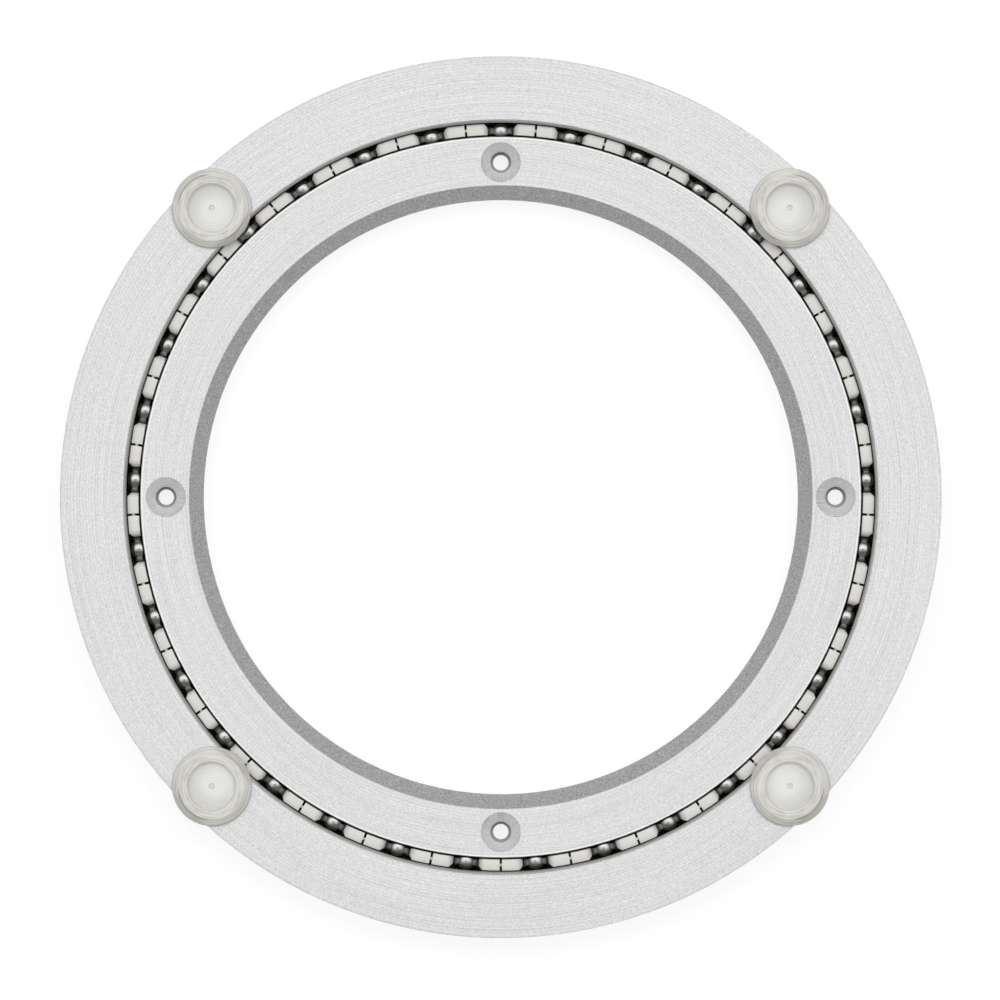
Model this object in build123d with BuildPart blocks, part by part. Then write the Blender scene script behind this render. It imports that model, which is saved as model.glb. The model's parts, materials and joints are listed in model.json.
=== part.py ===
from build123d import *
import os
from math import degrees

# A lazy susan bearing: two turned aluminium rings that run on one row of balls.
# Millimetres. The axis is Z and the origin is the middle of the inner ring's mounting face.
# The outer ring carries four soft pads on its upper face.

# Rings, from the outside inwards
outer_diameter = 200.0
outer_ring_width = 15.0
gap_width = 3.2
inner_ring_width = 14.3
ring_thickness = 8.5
# The outer ring sits this much higher, so that it turns clear of what the inner ring is screwed to.
ring_step = 1.2
edge_break = 0.15
gap_chamfer = 0.75
bore_bevel = 3.25
# A thin lip of the inner ring closes the gap from below and reaches a little way under the outer ring.
lip_thickness = 0.8
lip_lap = 1.0

# Countersunk screw holes in the inner ring, set in from its rim, with a wider throat above the through hole
hole_count = 4
hole_inset = 5.8
hole_diameter = 3.5
throat_diameter = 4.7
throat_depth = 6.0
sink_diameter = 9.1
sink_angle = 90.0

# Balls, in a race turned into both rings, with their centres a little outside the inner ring's rim
ball_count = 33
ball_diameter = 6.0
ball_stand_out = 1.2
first_ball_angle = 90.0
race_clearance = 0.15

# Spacers: two blocks joined by a thin web, with rounded ends that are hollowed to seat the balls
spacer_height = 6.0
inner_clearance = 0.4
outer_clearance = 0.25
seat_clearance = 0.1
seat_depth = 0.2
slot_width = 0.5
web_thickness = 0.6
web_recess = 0.8
end_rounding = 1.7
corner_cut = 0.9

# Pads: a raised rim round a shallow recess, with a boss pushed into the outer ring
pad_count = 4
pad_inset = 7.3
first_pad_angle = 45.0
pad_diameter = 18.0
pad_height = 3.0
pad_edge_height = 1.0
rim_diameter = 15.2
recess_diameter = 11.3
recess_floor_diameter = 10.4
recess_depth = 1.2
boss_diameter = 8.8
boss_length = 2.5
boss_clearance = 0.05

outer_radius = outer_diameter / 2
outer_bore_radius = outer_radius - outer_ring_width
inner_radius = outer_bore_radius - gap_width
bore_radius = inner_radius - inner_ring_width
hole_circle_radius = inner_radius - hole_inset
pad_circle_radius = outer_radius - pad_inset
outer_ring_top = ring_step + ring_thickness

ball_radius = ball_diameter / 2
ball_circle_radius = inner_radius + ball_stand_out
ball_height = outer_ring_top / 2
ball_pitch = 360 / ball_count

os.makedirs("parts", exist_ok=True)


def ring_section(bore, rim, bottom, bore_chamfer):
    """Half section of a ring, with its upper bore corner cut wider than the rest and the race turned out."""
    with BuildSketch(Plane.XZ) as section:
        with Locations((bore, bottom)):
            Rectangle(rim - bore, ring_thickness, align=Align.MIN)
        upper_bore = section.vertices().group_by(Axis.Y)[-1].sort_by(Axis.X)[0]
        chamfer(section.vertices() - [upper_bore], edge_break)
        upper_bore = section.vertices().group_by(Axis.Y)[-1].sort_by(Axis.X)[0]
        chamfer(upper_bore, bore_chamfer)
        with Locations((ball_circle_radius, ball_height)):
            Circle(ball_radius + race_clearance, mode=Mode.SUBTRACT)
    return section.sketch


# Inner ring: a bevel leads into the bore, the lip runs round its foot, and countersunk holes take screws.
with BuildPart() as inner_ring:
    revolve(ring_section(bore_radius, inner_radius, 0, bore_bevel), axis=Axis.Z)
    with BuildSketch(Plane.XZ):
        with Locations((inner_radius - edge_break, 0)):
            Rectangle(edge_break + gap_width + lip_lap, lip_thickness, align=Align.MIN)
    revolve(axis=Axis.Z)
    with Locations((0, 0, ring_thickness)):
        with PolarLocations(hole_circle_radius, hole_count):
            CounterSinkHole(hole_diameter / 2, sink_diameter / 2, counter_sink_angle=sink_angle)
            Hole(throat_diameter / 2, throat_depth)

inner_ring.part.label = "inner_ring"
export_step(inner_ring.part, "parts/inner_ring.step")

# Outer ring: the edge above the balls is opened by a chamfer, and four blind sockets take the pads.
with BuildPart() as outer_ring:
    revolve(ring_section(outer_bore_radius, outer_radius, ring_step, gap_chamfer), axis=Axis.Z)
    with Locations((0, 0, outer_ring_top)):
        with PolarLocations(pad_circle_radius, pad_count, first_pad_angle):
            Hole(boss_diameter / 2 + boss_clearance, boss_length + boss_clearance)

outer_ring.part.label = "outer_ring"
export_step(outer_ring.part, "parts/outer_ring.step")

# Balls: one row, evenly spaced round the race.
with BuildPart() as balls:
    with Locations((0, 0, ball_height)):
        with PolarLocations(ball_circle_radius, ball_count, first_ball_angle):
            Sphere(ball_radius)

balls.part.label = "balls"
export_step(balls.part, "parts/balls.step")

# One spacer, made across the X axis, with a ball half a pitch away on either side.
spacer_inner_radius = inner_radius + inner_clearance
spacer_outer_radius = outer_bore_radius - outer_clearance
spacer_middle_radius = (spacer_inner_radius + spacer_outer_radius) / 2
spacer_width = spacer_outer_radius - spacer_inner_radius
spacer_bottom = ball_height - spacer_height / 2
seat_radius = ball_radius + seat_clearance
half_angle = ball_pitch / 2 - degrees((seat_radius - seat_depth) / ball_circle_radius)

with BuildPart() as spacer:
    with BuildSketch(Plane.XY.offset(spacer_bottom)):
        with BuildLine():
            inner_arc = CenterArc((0, 0), spacer_inner_radius, -half_angle, 2 * half_angle)
            outer_arc = CenterArc((0, 0), spacer_outer_radius, -half_angle, 2 * half_angle)
            Line(inner_arc @ 0, outer_arc @ 0)
            Line(inner_arc @ 1, outer_arc @ 1)
        make_face()
    extrude(amount=spacer_height)
    # The outer corner of each end is cut off, and each end is rounded to the top and the bottom.
    uprights = spacer.edges().filter_by(Axis.Z).sort_by(Axis.Y)
    chamfer((uprights[0], uprights[-1]), corner_cut)
    end_faces = spacer.faces().sort_by(Axis.Y)
    end_edges = end_faces[0].edges() + end_faces[-1].edges()
    fillet(end_edges.group_by(Axis.Z)[0] + end_edges.group_by(Axis.Z)[-1], end_rounding)
    # The slot parts the two blocks, and the web across it keeps them together.
    with BuildSketch(Plane.XY.offset(spacer_bottom)):
        with Locations((spacer_middle_radius, 0)):
            Rectangle(2 * spacer_width, slot_width)
    extrude(amount=spacer_height, mode=Mode.SUBTRACT)
    with BuildSketch(Plane.XY.offset(spacer_bottom + web_recess)):
        with Locations((spacer_middle_radius, 0)):
            Rectangle(web_thickness, slot_width)
    extrude(amount=spacer_height - 2 * web_recess)
    # A hollow across each end fits round the ball and keeps the spacer at the balls' height.
    with Locations((0, 0, ball_height)):
        with PolarLocations(ball_circle_radius, 2, -ball_pitch / 2, ball_pitch, endpoint=True):
            Cylinder(seat_radius, ball_diameter, rotation=(0, 90, 0), mode=Mode.SUBTRACT)

# Every spacer stands midway between two balls.
for number in range(ball_count):
    placed = spacer.part.rotate(Axis.Z, first_ball_angle + ball_pitch * (number + 0.5))
    placed.label = f"spacer_{number + 1:02d}"
    export_step(placed, f"parts/{placed.label}.step")

# One pad, turned about the Z axis at the height of the outer ring's face.
pad_top = outer_ring_top + pad_height

with BuildPart() as pad:
    with BuildSketch(Plane.XZ):
        with BuildLine():
            Polyline(
                (0, outer_ring_top - boss_length),
                (boss_diameter / 2, outer_ring_top - boss_length),
                (boss_diameter / 2, outer_ring_top),
                (pad_diameter / 2, outer_ring_top),
                (pad_diameter / 2, outer_ring_top + pad_edge_height),
                (rim_diameter / 2, pad_top),
                (recess_diameter / 2, pad_top),
                (recess_floor_diameter / 2, pad_top - recess_depth),
                (0, pad_top - recess_depth),
                close=True,
            )
        make_face()
    revolve(axis=Axis.Z)

pad_places = PolarLocations(pad_circle_radius, pad_count, first_pad_angle)
for number, place in enumerate(pad_places, start=1):
    placed = pad.part.moved(place)
    placed.label = f"pad_{number}"
    export_step(placed, f"parts/{placed.label}.step")
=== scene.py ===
import json
import math

import bmesh
import bpy
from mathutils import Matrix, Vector


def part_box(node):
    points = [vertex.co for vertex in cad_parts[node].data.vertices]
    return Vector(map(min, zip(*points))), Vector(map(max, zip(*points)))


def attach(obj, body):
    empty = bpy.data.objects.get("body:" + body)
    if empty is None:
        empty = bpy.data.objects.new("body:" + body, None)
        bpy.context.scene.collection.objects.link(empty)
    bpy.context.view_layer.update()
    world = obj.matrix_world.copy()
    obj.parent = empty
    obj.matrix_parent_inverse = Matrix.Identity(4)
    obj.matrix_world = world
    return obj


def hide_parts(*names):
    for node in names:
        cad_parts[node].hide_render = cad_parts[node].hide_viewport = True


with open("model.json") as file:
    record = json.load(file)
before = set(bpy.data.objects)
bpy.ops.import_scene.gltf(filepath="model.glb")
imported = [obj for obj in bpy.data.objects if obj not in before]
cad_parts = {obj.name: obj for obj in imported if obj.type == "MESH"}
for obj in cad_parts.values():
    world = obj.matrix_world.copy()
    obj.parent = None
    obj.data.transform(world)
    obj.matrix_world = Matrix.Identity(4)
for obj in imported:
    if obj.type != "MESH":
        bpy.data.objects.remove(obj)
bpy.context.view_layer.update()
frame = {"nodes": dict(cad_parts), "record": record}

# Metres throughout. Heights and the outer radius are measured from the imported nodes.
MM = 0.001
bump_depth = 0.02 * MM

inner_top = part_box("inner_ring")[1].z
outer_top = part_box("outer_ring")[1].z
outer_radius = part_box("outer_ring")[1].x
pads = sorted(name for name in frame["nodes"] if name.startswith("pad_"))
spacers = sorted(name for name in frame["nodes"] if name.startswith("spacer_"))
mounts = {mount["name"]: mount for mount in frame["record"]["mounts"]}

# Rings: where their finish, their painted shade and their painted highlight change
hole_circle_radius = mounts["screw_holes"]["dims"]["pcd_mm"] * MM / 2
sink_radius = 4.55 * MM
throat_radius = 2.36 * MM
bevel_edge_radius = 70.75 * MM
race_inner_radius = 79.8 * MM
race_outer_radius = 86.0 * MM
gap_edge_radius = 81.35 * MM
foot_height = 0.3 * MM

# Rings: depths under the top where the warm painted shade of the gap begins and where it covers the metal
inner_gap_shade = (0.15 * MM, 0.3 * MM)
outer_gap_shade = (0.25 * MM, 1.1 * MM)

# Rings: turned lines, grain, the share that each has in the finish, and the spread of their tones
turning_pitch = 0.68 * MM
sink_turning_pitch = 0.45 * MM
line_width = 0.34 * MM
streak_length = 35 * MM
grain_width = 0.28 * MM
grain_length = 0.45 * MM
blasted_grain = 0.5 * MM
mean_radius = 85 * MM
turned_line_share = 0.22
grain_share = 0.65
sink_line_share = 0.12
face_spread = 0.2
sink_spread = 0.25
blasted_spread = 0.21

# Rings: how dull they are, their dark and light greys, and the warm colour of the painted shade in the gap
ring_roughness = 0.55
bevel_roughness = 0.62
face_greys = (0.57, 0.84)
# Painted highlight: the inner ring's gap edge is lighter than its face, for the light it catches
gap_edge_highlight_greys = (0.84, 0.95)
bevel_greys = (0.37, 0.67)
# Painted shade: the dark throats under the countersinks stand for the shade inside the holes
throat_shade_grey = 0.42
# Painted shade: the warm dark colour laid down into the gap
gap_shade_colour = (0.17, 0.145, 0.10, 1)

# Countersinks: the greys of their dark and light lines, each at the throat and at the rim. The bright throat
# and the darker rim are painted light and shade.
sink_dark_greys = (0.90, 0.60)
sink_light_greys = (1.0, 0.98)

# Balls
ball_streak_scale = 900.0
ball_greys = (0.29, 0.37)
ball_roughness = (0.08, 0.16)

# Spacers
spacer_edge_rounding = 0.15 * MM
spacer_dark = (0.78, 0.77, 0.735, 1)
spacer_light = (0.88, 0.87, 0.835, 1)
spacer_grain_scale = 1500.0
spacer_roughness = 0.45
merge_distance = 0.0005 * MM
flat_angle = math.radians(1)
sharp_angle = math.radians(35)

# Pads: form
pad_circle_radius = 92.7 * MM
pad_sunk = 0.02 * MM
pad_boss_radius = 4.4 * MM
pad_boss_length = 2.5 * MM
pad_edge_height = 1.0 * MM
pad_edge_radius = 9.0 * MM
pad_rim_radius = 7.6 * MM
pad_rim_step = 0.2 * MM
pad_recess_radius = 5.65 * MM
pad_recess_depth = 1.2 * MM
pad_floor_radius = 5.2 * MM
pad_ripple_pitch = 0.55 * MM
pad_ripple_depth = 0.035 * MM
pad_gate_radius = 0.8 * MM
pad_gate_depth = 0.25 * MM
pad_turns = 96
pad_steps_a_ripple = 8

# Pads: roundings of the half section, from the boss round the edge to the floor
pad_boss_rounding = 0.3 * MM
pad_foot_rounding = 0.25 * MM
pad_shoulder_rounding = 0.6 * MM
pad_groove_width = 0.12 * MM
pad_groove_rounding = 0.08 * MM
pad_crease_rounding = 0.05 * MM
pad_rim_rounding = 0.12 * MM
pad_recess_rounding = 0.35 * MM
pad_floor_rounding = 0.3 * MM

# Pads: where their look changes, and where painted shade, painted lines and painted arcs lie
pad_blend = 0.3 * MM
pad_gap_blend = 0.8 * MM
pad_edge_band = (0.35 * MM, 0.05 * MM)
pad_line_reach = 0.3 * MM
pad_line_core = 0.06 * MM
pad_line_shift = 0.15 * MM
pad_mark_radius = 0.5 * MM
# Painted dark refraction line on the bevel
pad_bevel_line_radius = 8.3 * MM
# Pads: a spot of painted light in the recess, with painted shade round it
pad_bright_shift = 1.0 * MM
pad_bright_radius = 2.2 * MM
pad_shade_radius = 5.8 * MM
# Pads: light and dark streaks painted as the rim's refraction lines and highlights
pad_streak_width = 0.27 * MM
pad_streak_reach = 0.55
pad_streak_share = 0.75
pad_streak_range = (0.32, 0.62)
pad_cloud_scale = 280.0
pad_cloud_spread = 0.2

# Pads: dark arcs painted where the ring's edges would show through. Outwards is 1 and inwards is -1.
pad_outer_arc_ends = (0.72, 0.88)
pad_inner_arc_ends = (-0.84, -0.96)
pad_inner_arc_share = 0.7
# Share of painted shade where the pad reaches past the ring's outer edge
pad_beyond_share = 0.6

# Pads: how clear and how rough they are, and how far the bevel's shading is lifted
pad_clear = 0.16
pad_clear_over_gap = 0.38
pad_clear_in_recess = 0.02
pad_roughness = 0.08
pad_roughness_over_gap = 0.35
pad_roughness_in_recess = 0.5
pad_refraction = 1.45
pad_lift = 0.85

# Pads: colours, among them painted shade in the recess, ripple hollows, creases and edge, and painted
# refraction lines and arcs
pad_rim_dark = (0.73, 0.71, 0.66, 1)
pad_rim_light = (1.0, 0.985, 0.94, 1)
pad_recess_milky = (0.93, 0.93, 0.915, 1)
pad_recess_white = (1.0, 1.0, 0.985, 1)
pad_recess_shade = (0.65, 0.65, 0.63, 1)
pad_ripple_shade = (0.76, 0.76, 0.74, 1)
pad_mark_dull = (0.62, 0.62, 0.60, 1)
pad_crease_shade = (0.86, 0.83, 0.77, 1)
pad_bevel_refraction = (0.72, 0.70, 0.65, 1)
pad_outer_arc = (0.42, 0.40, 0.37, 1)
pad_inner_arc = (0.55, 0.52, 0.45, 1)
pad_beyond_ring = (0.62, 0.605, 0.57, 1)
pad_edge_shade = (0.76, 0.74, 0.69, 1)


def new_material(name):
    """A node material with its Principled shader, ready to be wired."""
    material = bpy.data.materials.new(name)
    material.use_nodes = True
    tree = material.node_tree
    return material, tree, tree.nodes["Principled BSDF"]


def node(tree, kind, inputs=None, **settings):
    """Adds a node. Inputs are numbers, colours or sockets to link, by name or index."""
    made = tree.nodes.new(kind)
    for key, value in settings.items():
        setattr(made, key, value)
    for key, value in (inputs or {}).items():
        if isinstance(value, bpy.types.NodeSocket):
            tree.links.new(value, made.inputs[key])
        else:
            made.inputs[key].default_value = value
    return made


def calc(tree, operation, *values):
    """One Math node and its result."""
    return node(tree, "ShaderNodeMath", dict(enumerate(values)), operation=operation).outputs[0]


def product(tree, first, *others):
    for other in others:
        first = calc(tree, "MULTIPLY", first, other)
    return first


def length(tree, x, y):
    return calc(tree, "SQRT", calc(tree, "ADD", product(tree, x, x), product(tree, y, y)))


def ramp(tree, value, start, end, low=0.0, high=1.0):
    """Low up to start, high from end on, and even between them. Start may be the larger one."""
    inputs = {"Value": value, "From Min": start, "From Max": end, "To Min": low, "To Max": high}
    return node(tree, "ShaderNodeMapRange", inputs, clamp=True).outputs[0]


def contrast(tree, value, spread):
    """Stretches a noise, so that half less the spread becomes 0 and half plus the spread becomes 1."""
    return ramp(tree, value, 0.5 - spread, 0.5 + spread)


def mix_colour(tree, share, first, second):
    """A colour that goes from first to second as share goes from 0 to 1."""
    return node(tree, "ShaderNodeMix", {"Factor": share, 6: first, 7: second}, data_type="RGBA").outputs[2]


def mix_value(tree, share, first, second):
    """A number that goes from first to second as share goes from 0 to 1."""
    return node(tree, "ShaderNodeMix", {"Factor": share, 2: first, 3: second}, data_type="FLOAT").outputs[0]


def grey(value):
    return (value, value, value, 1)


def mix_greys(tree, share, greys):
    """A grey that goes from the first to the second of two as share goes from 0 to 1."""
    first, second = greys
    return mix_colour(tree, share, grey(first), grey(second))


def own_place(tree):
    """The place in the object's own axes."""
    return node(tree, "ShaderNodeTexCoord").outputs["Object"]


def wave(tree, kind, value, pitch):
    """A sine or cosine wave of this pitch, from -1 to 1."""
    return calc(tree, kind, product(tree, value, 2 * math.pi / pitch))


def noise(tree, inputs):
    """The value of a noise texture, from 0 to 1 with a mean of about a half."""
    return node(tree, "ShaderNodeTexNoise", inputs).outputs[0]


def ring_noise(tree, x, y, across, width, reach, detail):
    """Noise about the Z axis without a seam.

    Its patches are one width across and one reach around, in radians.
    """
    turn = product(tree, length(tree, x, y), reach)
    places = {
        0: calc(tree, "DIVIDE", x, turn),
        1: calc(tree, "DIVIDE", y, turn),
        2: calc(tree, "DIVIDE", across, width),
    }
    vector = node(tree, "ShaderNodeCombineXYZ", places).outputs[0]
    return noise(tree, {"Vector": vector, "Scale": 1.0, "Detail": detail})


def add_bump(tree, shader, height, strength):
    """Lets a height map disturb the shading a little."""
    bump = node(tree, "ShaderNodeBump", {"Strength": strength, "Distance": bump_depth, "Height": height})
    tree.links.new(bump.outputs[0], shader.inputs["Normal"])


def from_nearest_hole(tree, x, y):
    """The distance from the axis of the nearest screw hole.

    The holes lie on the X and Y axes, so folding the plane about its diagonals brings all of them onto one.
    """
    x_size = calc(tree, "ABSOLUTE", x)
    y_size = calc(tree, "ABSOLUTE", y)
    along = calc(tree, "SUBTRACT", calc(tree, "MAXIMUM", x_size, y_size), hole_circle_radius)
    return length(tree, along, calc(tree, "MINIMUM", x_size, y_size))


def sink_colour(tree, from_hole, grain):
    """The countersink: turned, painted bright at the throat and with its lines painted darker towards the
    rim as shade.
    """
    lines = wave(tree, "SINE", from_hole, sink_turning_pitch)
    finish = contrast(tree, calc(tree, "MULTIPLY_ADD", lines, sink_line_share, grain), sink_spread)
    # Painted light and shade: bright at the throat, darker towards the rim
    up_sink = ramp(tree, from_hole, throat_radius, sink_radius)
    dark = mix_greys(tree, up_sink, sink_dark_greys)
    light = mix_greys(tree, up_sink, sink_light_greys)
    return mix_colour(tree, finish, dark, light)


def turned_aluminium(name, top, gap_shade, screwed):
    """Bright ring with fine turned lines and grain, darkened by warm painted shade from its gap edge down
    into the race.

    A screwed ring also has a painted highlight on its gap edge, countersinks painted bright at the throat
    and darker towards the rim, throats painted dark as shade under them, and a matt bevel in the bore.
    """
    material, tree, shader = new_material(name)
    x, y, z = node(tree, "ShaderNodeSeparateXYZ", {0: own_place(tree)}).outputs
    radius = length(tree, x, y)

    # Radius and height together run across the faces and up the walls alike.
    across = calc(tree, "ADD", radius, z)
    streaks = ring_noise(tree, x, y, across, line_width, streak_length / mean_radius, 1.0)
    grain = ring_noise(tree, x, y, across, grain_width, grain_length / mean_radius, 2.0)
    turning = ramp(tree, wave(tree, "SINE", across, turning_pitch), -1.0, 1.0)
    lines = mix_value(tree, turned_line_share, streaks, turning)
    finish = contrast(tree, mix_value(tree, grain_share, lines, grain), face_spread)
    colour = mix_greys(tree, finish, face_greys)

    above_foot = calc(tree, "GREATER_THAN", z, foot_height)
    past_inner = calc(tree, "GREATER_THAN", radius, race_inner_radius)
    before_outer = calc(tree, "LESS_THAN", radius, race_outer_radius)
    # Painted shade: the race grows darker the deeper it lies under the top
    gap_shade_start, gap_shade_full = gap_shade
    down = ramp(tree, z, top - gap_shade_start, top - gap_shade_full)
    gap_shaded = product(tree, past_inner, before_outer, above_foot, down)

    if screwed:
        # Painted highlight: the inner ring's gap edge is made lighter than its face
        past_edge = calc(tree, "GREATER_THAN", radius, gap_edge_radius)
        colour = mix_colour(tree, past_edge, colour, mix_greys(tree, grain, gap_edge_highlight_greys))
        from_hole = from_nearest_hole(tree, x, y)
        in_sink = calc(tree, "LESS_THAN", from_hole, sink_radius)
        colour = mix_colour(tree, in_sink, colour, sink_colour(tree, from_hole, grain))
        # Painted shade: the throat is darkened for the shade inside the hole
        in_throat = calc(tree, "LESS_THAN", from_hole, throat_radius)
        colour = mix_colour(tree, in_throat, colour, grey(throat_shade_grey))
        in_bevel = product(tree, calc(tree, "LESS_THAN", radius, bevel_edge_radius), above_foot)
        blasted = ring_noise(tree, x, y, across, blasted_grain, blasted_grain / mean_radius, 2.0)
        blasted = contrast(tree, blasted, blasted_spread)
        colour = mix_colour(tree, in_bevel, colour, mix_greys(tree, blasted, bevel_greys))
        # The painted shade of the gap stays out of the countersinks
        gap_shaded = product(tree, gap_shaded, calc(tree, "SUBTRACT", 1.0, in_sink))
        roughness = mix_value(tree, in_bevel, ring_roughness, bevel_roughness)
        tree.links.new(roughness, shader.inputs["Roughness"])
    else:
        shader.inputs["Roughness"].default_value = ring_roughness

    # Lays the warm painted shade into the gap
    colour = mix_colour(tree, gap_shaded, colour, gap_shade_colour)
    tree.links.new(colour, shader.inputs["Base Color"])
    shader.inputs["Metallic"].default_value = 1.0
    add_bump(tree, shader, finish, 0.3)
    return material


def polished_steel():
    """Balls with a mirror finish and a few faint streaks."""
    material, tree, shader = new_material("polished_steel")
    streaks = noise(tree, {"Vector": own_place(tree), "Scale": ball_streak_scale, "Detail": 2.0})
    tree.links.new(mix_greys(tree, streaks, ball_greys), shader.inputs["Base Color"])
    tree.links.new(ramp(tree, streaks, 0.0, 1.0, *ball_roughness), shader.inputs["Roughness"])
    shader.inputs["Metallic"].default_value = 1.0
    return material


def moulded_plastic():
    """Off-white spacers with a fine moulded grain."""
    material, tree, shader = new_material("moulded_plastic")
    grain = noise(tree, {"Vector": own_place(tree), "Scale": spacer_grain_scale, "Detail": 3.0})
    tree.links.new(mix_colour(tree, grain, spacer_dark, spacer_light), shader.inputs["Base Color"])
    shader.inputs["Roughness"].default_value = spacer_roughness
    add_bump(tree, shader, grain, 0.15)
    return material


def line_at(tree, radius, line_radius):
    """1 on a thin line round the axis, fading to 0 on either side."""
    off_line = calc(tree, "ABSOLUTE", calc(tree, "SUBTRACT", radius, line_radius))
    return ramp(tree, off_line, pad_line_reach, pad_line_core)


def pad_rim_colour(tree, cloud, streaks, on_bevel):
    """Warm, with light and dark streaks painted as the pad's refraction lines and highlights, and painted
    light that lightens the bevel against its shade.
    """
    # Painted streaks and patches that stand for refraction lines and highlights
    moulded = ramp(tree, mix_value(tree, pad_streak_share, cloud, streaks), *pad_streak_range)
    colour = mix_colour(tree, moulded, pad_rim_dark, pad_rim_light)
    # Painted light: the bevel is lightened to offset the shade it falls in
    return mix_colour(tree, product(tree, on_bevel, 0.6), colour, pad_rim_light)


def pad_recess_colour(tree, x, y, radius, cloud):
    """White, with a mark, a painted light spot a little towards the bearing's middle, painted shade round
    it, and painted shade in each ripple hollow.
    """
    colour = mix_colour(tree, cloud, pad_recess_milky, pad_recess_white)
    # Painted light and shade: brightest at a spot a little towards the bearing's middle, darker away from it
    from_bright = length(tree, calc(tree, "ADD", x, pad_bright_shift), y)
    recess_shaded = ramp(tree, from_bright, pad_bright_radius, pad_shade_radius)
    colour = mix_colour(tree, recess_shaded, colour, pad_recess_shade)
    # Painted shade in the ripple hollows
    hollows = ramp(tree, wave(tree, "COSINE", radius, pad_ripple_pitch), 0.5, -1.0)
    ripple_shade = product(tree, hollows, ramp(tree, cloud, 0.0, 1.0, 0.1, 0.9))
    colour = mix_colour(tree, ripple_shade, colour, pad_ripple_shade)
    mark = product(tree, line_at(tree, radius, pad_mark_radius), ramp(tree, cloud, 0.2, 0.8, 0.3, 0.8))
    return mix_colour(tree, mark, colour, pad_mark_dull)


def with_pad_lines(tree, colour, x, radius, streaks):
    """Adds painted shade in the crease lines, a painted dark refraction line on the bevel, and dark arcs
    painted on two sides where the ring's edges would show through.
    """
    # Painted shade along the crease lines at the recess and the rim
    rim_line = line_at(tree, radius, pad_rim_radius)
    crease_shade = calc(tree, "MAXIMUM", line_at(tree, radius, pad_recess_radius - pad_line_shift), rim_line)
    colour = mix_colour(tree, crease_shade, colour, pad_crease_shade)
    # Painted dark refraction line on the bevel, broken by the streaks
    bevel_line = line_at(tree, radius, pad_bevel_line_radius)
    bevel_line = product(tree, bevel_line, ramp(tree, streaks, 0.58, 0.42))
    colour = mix_colour(tree, bevel_line, colour, pad_bevel_refraction)
    # Painted dark arcs where the ring's edges would show through
    bearing = calc(tree, "DIVIDE", x, radius)
    outer_arc = product(tree, rim_line, ramp(tree, bearing, *pad_outer_arc_ends))
    colour = mix_colour(tree, outer_arc, colour, pad_outer_arc)
    inner_line = line_at(tree, radius, pad_rim_radius + pad_line_shift)
    inner_arc = product(tree, inner_line, ramp(tree, bearing, *pad_inner_arc_ends, 0.0, pad_inner_arc_share))
    return mix_colour(tree, inner_arc, colour, pad_inner_arc)


def lifted_normal(tree, share):
    """Upward faces shaded as if they lay flatter, as light that spreads inside a pad evens them out."""
    normal = node(tree, "ShaderNodeNewGeometry").outputs["Normal"]
    facing_up = node(tree, "ShaderNodeSeparateXYZ", {0: normal}).outputs[2]
    lift = product(tree, share, ramp(tree, facing_up, 0.0, 0.3, 0.0, pad_lift))
    inputs = {"Factor": lift, 4: normal, 5: (0, 0, 1)}
    raised = node(tree, "ShaderNodeMix", inputs, data_type="VECTOR").outputs[1]
    return node(tree, "ShaderNodeVectorMath", {0: raised}, operation="NORMALIZE").outputs[0]


def soft_translucent():
    """Milky translucent pads with a warm tint, whiter in the recess and clearer over the gap.

    Read about the pad's own axis, with the pad's X pointing out from the bearing's middle.
    """
    material, tree, shader = new_material("soft_translucent")
    place = own_place(tree)
    x, y, _ = node(tree, "ShaderNodeSeparateXYZ", {0: place}).outputs
    radius = length(tree, x, y)
    from_middle = length(tree, calc(tree, "ADD", x, pad_circle_radius), y)
    in_recess = ramp(tree, radius, pad_recess_radius, pad_floor_radius - pad_blend)
    on_bevel = ramp(tree, radius, pad_rim_radius - pad_blend, pad_rim_radius + pad_blend)
    gap_side = ramp(tree, from_middle, race_outer_radius + pad_gap_blend, race_outer_radius - pad_gap_blend)
    over_gap = product(tree, gap_side, on_bevel)
    # Painted shade where the pad reaches past the ring's outer edge
    past_ring = ramp(tree, from_middle, outer_radius - pad_blend, outer_radius + pad_blend)
    past_ring = product(tree, past_ring, pad_beyond_share)
    # Painted shade along the pad's outer edge
    edge_start, edge_full = pad_edge_band
    at_edge = ramp(tree, radius, pad_edge_radius - edge_start, pad_edge_radius - edge_full)

    cloud = noise(tree, {"Vector": place, "Scale": pad_cloud_scale, "Detail": 3.0})
    cloud = contrast(tree, cloud, pad_cloud_spread)
    streaks = ring_noise(tree, x, y, radius, pad_streak_width, pad_streak_reach, 1.0)
    rim = pad_rim_colour(tree, cloud, streaks, on_bevel)
    recess = pad_recess_colour(tree, x, y, radius, cloud)
    colour = with_pad_lines(tree, mix_colour(tree, in_recess, rim, recess), x, radius, streaks)
    colour = mix_colour(tree, past_ring, colour, pad_beyond_ring)
    colour = mix_colour(tree, at_edge, colour, pad_edge_shade)
    tree.links.new(colour, shader.inputs["Base Color"])
    tree.links.new(lifted_normal(tree, on_bevel), shader.inputs["Normal"])

    clear = mix_value(tree, over_gap, pad_clear, pad_clear_over_gap)
    clear = mix_value(tree, in_recess, clear, pad_clear_in_recess)
    tree.links.new(clear, shader.inputs["Transmission Weight"])
    roughness = mix_value(tree, over_gap, pad_roughness, pad_roughness_over_gap)
    roughness = mix_value(tree, in_recess, roughness, pad_roughness_in_recess)
    tree.links.new(roughness, shader.inputs["Roughness"])
    shader.inputs["IOR"].default_value = pad_refraction
    return material


def dress(name, material):
    """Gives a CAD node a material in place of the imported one."""
    for slot in frame["nodes"][name].material_slots:
        slot.material = material


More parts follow.
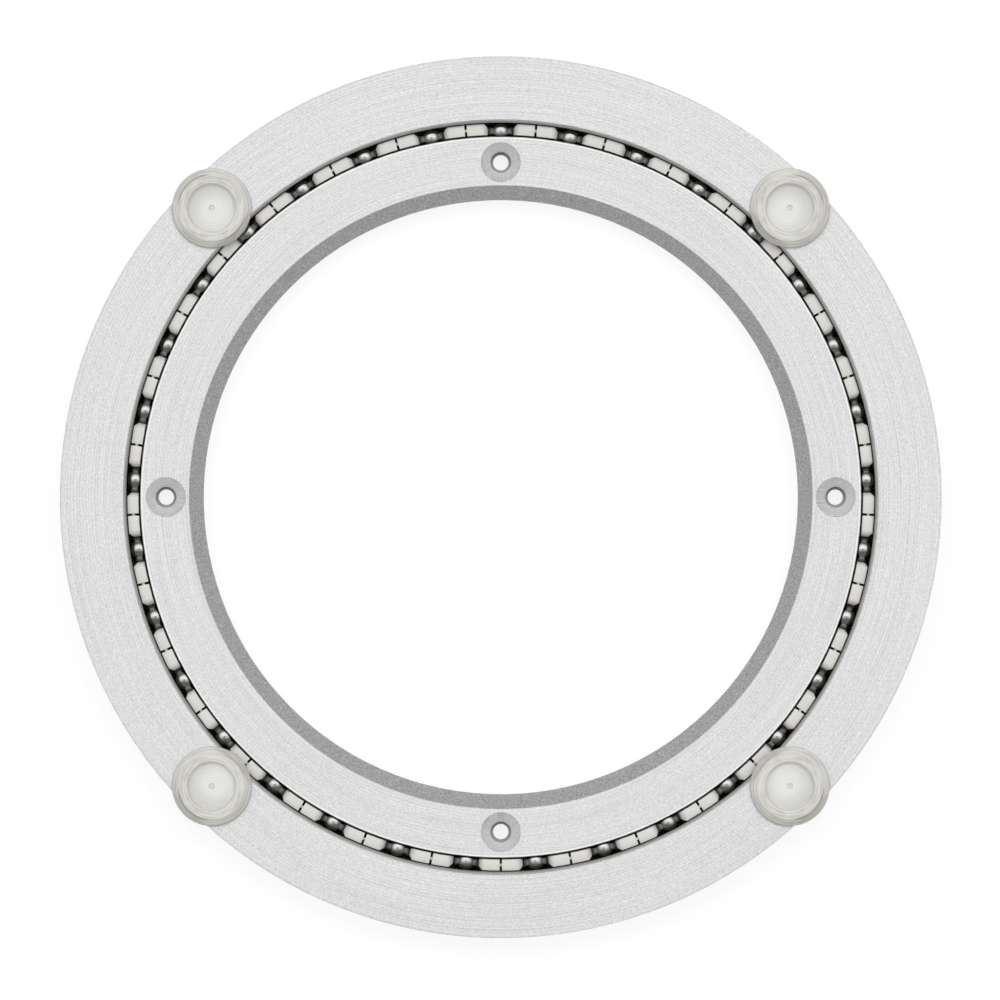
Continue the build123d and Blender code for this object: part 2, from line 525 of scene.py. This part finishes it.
def add_piece(replaced, mesh, material, body, place=(0, 0, 0), angle=0.0):
    """A piece that stands in for a CAD node and rides on its body, turned by an angle about Z."""
    mesh.materials.clear()
    mesh.materials.append(material)
    mesh.shade_smooth()
    piece = bpy.data.objects.new(f"{replaced}_soft", mesh)
    piece.location = place
    piece.rotation_euler = (0, 0, angle)
    bpy.context.scene.collection.objects.link(piece)
    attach(piece, body)
    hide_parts(replaced)


def softened(name, rounding):
    """A copy of a CAD node's mesh with its sharp edges rounded."""
    mesh = frame["nodes"][name].data.copy()
    if "custom_normal" in mesh.attributes:
        mesh.attributes.remove(mesh.attributes["custom_normal"])
    form = bmesh.new()
    form.from_mesh(mesh)
    bmesh.ops.remove_doubles(form, verts=form.verts, dist=merge_distance)
    bmesh.ops.dissolve_limit(form, angle_limit=flat_angle, verts=form.verts, edges=form.edges)
    sharp = [edge for edge in form.edges if edge.is_manifold and edge.calc_face_angle() > sharp_angle]
    bmesh.ops.bevel(
        form, geom=sharp, offset=rounding, segments=2, profile=0.5, affect="EDGES", clamp_overlap=True
    )
    form.to_mesh(mesh)
    form.free()
    return mesh


def rounded(corners, steps=6):
    """A line through (r, z, rounding) corners, with an arc at each corner that has a rounding."""
    line = []
    for number, (r, z, rounding) in enumerate(corners):
        here = Vector((r, z))
        if not rounding:
            line.append(here)
            continue
        back = (Vector(corners[number - 1][:2]) - here).normalized()
        ahead = (Vector(corners[number + 1][:2]) - here).normalized()
        half = back.angle(ahead) / 2
        centre = here + (back + ahead).normalized() * rounding / math.sin(half)
        start = here + back * rounding / math.tan(half) - centre
        end = here + ahead * rounding / math.tan(half) - centre
        line += [centre + start.slerp(end, step / steps) * rounding for step in range(steps + 1)]
    return line


def lathe(name, line, turns):
    """The mesh of a closed solid turned about Z.

    The line of (r, z) points starts and ends on the axis.
    """
    middle = line[1:-1]
    points = [(0, 0, line[0].y), (0, 0, line[-1].y)]
    for turn in range(turns):
        angle = 2 * math.pi * turn / turns
        points += [(p.x * math.cos(angle), p.x * math.sin(angle), p.y) for p in middle]
    faces = []
    for turn in range(turns):
        this = 2 + turn * len(middle)
        following = 2 + (turn + 1) % turns * len(middle)
        faces.append((0, following, this))
        faces.append((1, this + len(middle) - 1, following + len(middle) - 1))
        for row in range(len(middle) - 1):
            faces.append((this + row, following + row, following + row + 1, this + row + 1))
    mesh = bpy.data.meshes.new(name)
    mesh.from_pydata(points, [], faces)
    return mesh


def pad_line(face, top, radius):
    """Half section of a pad: boss, foot a little into the ring, stepped rim, rippled floor, gate mark."""
    floor = top - pad_recess_depth
    under_rim = top - pad_rim_step
    corners = [
        (0, face - pad_boss_length, 0),
        (pad_boss_radius, face - pad_boss_length, pad_boss_rounding),
        (pad_boss_radius, face - pad_sunk, 0),
        (radius, face - pad_sunk, pad_foot_rounding),
        (radius, face + pad_edge_height, pad_shoulder_rounding),
        (pad_rim_radius + pad_groove_width, under_rim - pad_groove_width, pad_groove_rounding),
        (pad_rim_radius, under_rim, pad_crease_rounding),
        (pad_rim_radius, top, pad_rim_rounding),
        (pad_recess_radius, top, pad_recess_rounding),
        (pad_floor_radius, floor, pad_floor_rounding),
    ]
    line = rounded(corners + [(0, floor, 0)])[:-1]
    ripple_start = line[-1].x
    steps = round(pad_steps_a_ripple * ripple_start / pad_ripple_pitch)
    for step in range(1, steps):
        r = ripple_start * (1 - step / steps)
        dip = pad_ripple_depth * (1 - math.cos(2 * math.pi * r / pad_ripple_pitch)) / 2
        scar = pad_gate_depth * math.sin(math.pi * min(1.0, r / pad_gate_radius)) ** 2
        line.append(Vector((r, floor - dip - scar)))
    line.append(Vector((0, floor)))
    return line


def add_pads():
    material = soft_translucent()
    for name in pads:
        low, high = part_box(name)
        x, y = (low.x + high.x) / 2, (low.y + high.y) / 2
        mesh = lathe(name, pad_line(outer_top, high.z, (high.x - low.x) / 2), pad_turns)
        add_piece(name, mesh, material, "outer_ring", (x, y, 0), math.atan2(y, x))


def add_spacers():
    material = moulded_plastic()
    for name in spacers:
        add_piece(name, softened(name, spacer_edge_rounding), material, "ball_train")


dress("inner_ring", turned_aluminium("inner_aluminium", inner_top, inner_gap_shade, True))
dress("outer_ring", turned_aluminium("outer_aluminium", outer_top, outer_gap_shade, False))
dress("balls", polished_steel())
add_spacers()
add_pads()

# Floor and camera
floor_width = 6.0
floor_grey = 0.9
floor_shadow = 0.22
floor_glow = 0.83
frame_width = 226.8 * MM
frame_centre = (-0.18 * MM, -0.64 * MM)
camera_distance = 4.0
sensor_width = 36.0

# Light: heights are 0 at the horizon and 1 overhead, and sides run from -1 to 1 along Y.
panel_light = 2.55
dim_light = 0.31
horizon_light = 0.82
horizon_end = 0.05
dim_start = 0.4
panel_sides = (-0.4, 0.25)
panel_heights = (0.6, 0.88)
lens_core = math.radians(9)
lens_reach = math.radians(13)
lens_share = 0.25


def pale_floor():
    """White for the camera and for reflections where it is lit, with part of the object's shadow kept."""
    material = bpy.data.materials.new("pale_floor")
    material.use_nodes = True
    tree = material.node_tree
    tree.nodes.clear()
    path = node(tree, "ShaderNodeLightPath").outputs
    seen = calc(tree, "MAXIMUM", path["Is Camera Ray"], path["Is Glossy Ray"])
    seen = calc(tree, "MAXIMUM", seen, path["Is Transmission Ray"])
    plain = node(tree, "ShaderNodeBsdfDiffuse", {"Color": grey(floor_grey)}).outputs[0]
    shaded = node(tree, "ShaderNodeBsdfDiffuse", {"Color": grey(floor_shadow)}).outputs[0]
    glow = node(tree, "ShaderNodeEmission", {"Color": grey(1.0), "Strength": floor_glow}).outputs[0]
    white = node(tree, "ShaderNodeAddShader", {0: shaded, 1: glow}).outputs[0]
    shown = node(tree, "ShaderNodeMixShader", {0: seen, 1: plain, 2: white}).outputs[0]
    node(tree, "ShaderNodeOutputMaterial", {"Surface": shown})
    return material


def soft_sky():
    """A tent of light: a bright half towards +Y, a dim half, an even horizon and the dark lens overhead."""
    world = bpy.data.worlds.new("soft_sky")
    world.use_nodes = True
    tree = world.node_tree
    direction = node(tree, "ShaderNodeTexCoord").outputs["Generated"]
    _, side, height = node(tree, "ShaderNodeSeparateXYZ", {0: direction}).outputs
    tent = ramp(tree, height, horizon_end, dim_start, horizon_light, dim_light)
    panel = product(tree, ramp(tree, side, *panel_sides), ramp(tree, height, *panel_heights))
    light = calc(tree, "ADD", tent, product(tree, panel, panel_light - dim_light))
    lens = ramp(tree, height, math.cos(lens_reach), math.cos(lens_core), 1.0, lens_share)
    tree.links.new(product(tree, light, lens), tree.nodes["Background"].inputs["Color"])
    bpy.context.scene.world = world


def add_floor():
    corner = floor_width / 2
    mesh = bpy.data.meshes.new("floor")
    corners = [(-corner, -corner, 0), (corner, -corner, 0), (corner, corner, 0), (-corner, corner, 0)]
    mesh.from_pydata(corners, [], [(0, 1, 2, 3)])
    mesh.materials.append(pale_floor())
    floor = bpy.data.objects.new("floor", mesh)
    bpy.context.scene.collection.objects.link(floor)


def add_camera():
    """Straight down on the upper face, with +Y up in the picture."""
    lens = bpy.data.cameras.new("camera")
    lens.sensor_width = sensor_width
    lens.lens = sensor_width * camera_distance / frame_width
    camera = bpy.data.objects.new("camera", lens)
    camera.location = (*frame_centre, outer_top + camera_distance)
    bpy.context.scene.collection.objects.link(camera)
    bpy.context.scene.camera = camera


add_floor()
soft_sky()
add_camera()
bpy.context.scene.view_settings.view_transform = "Standard"
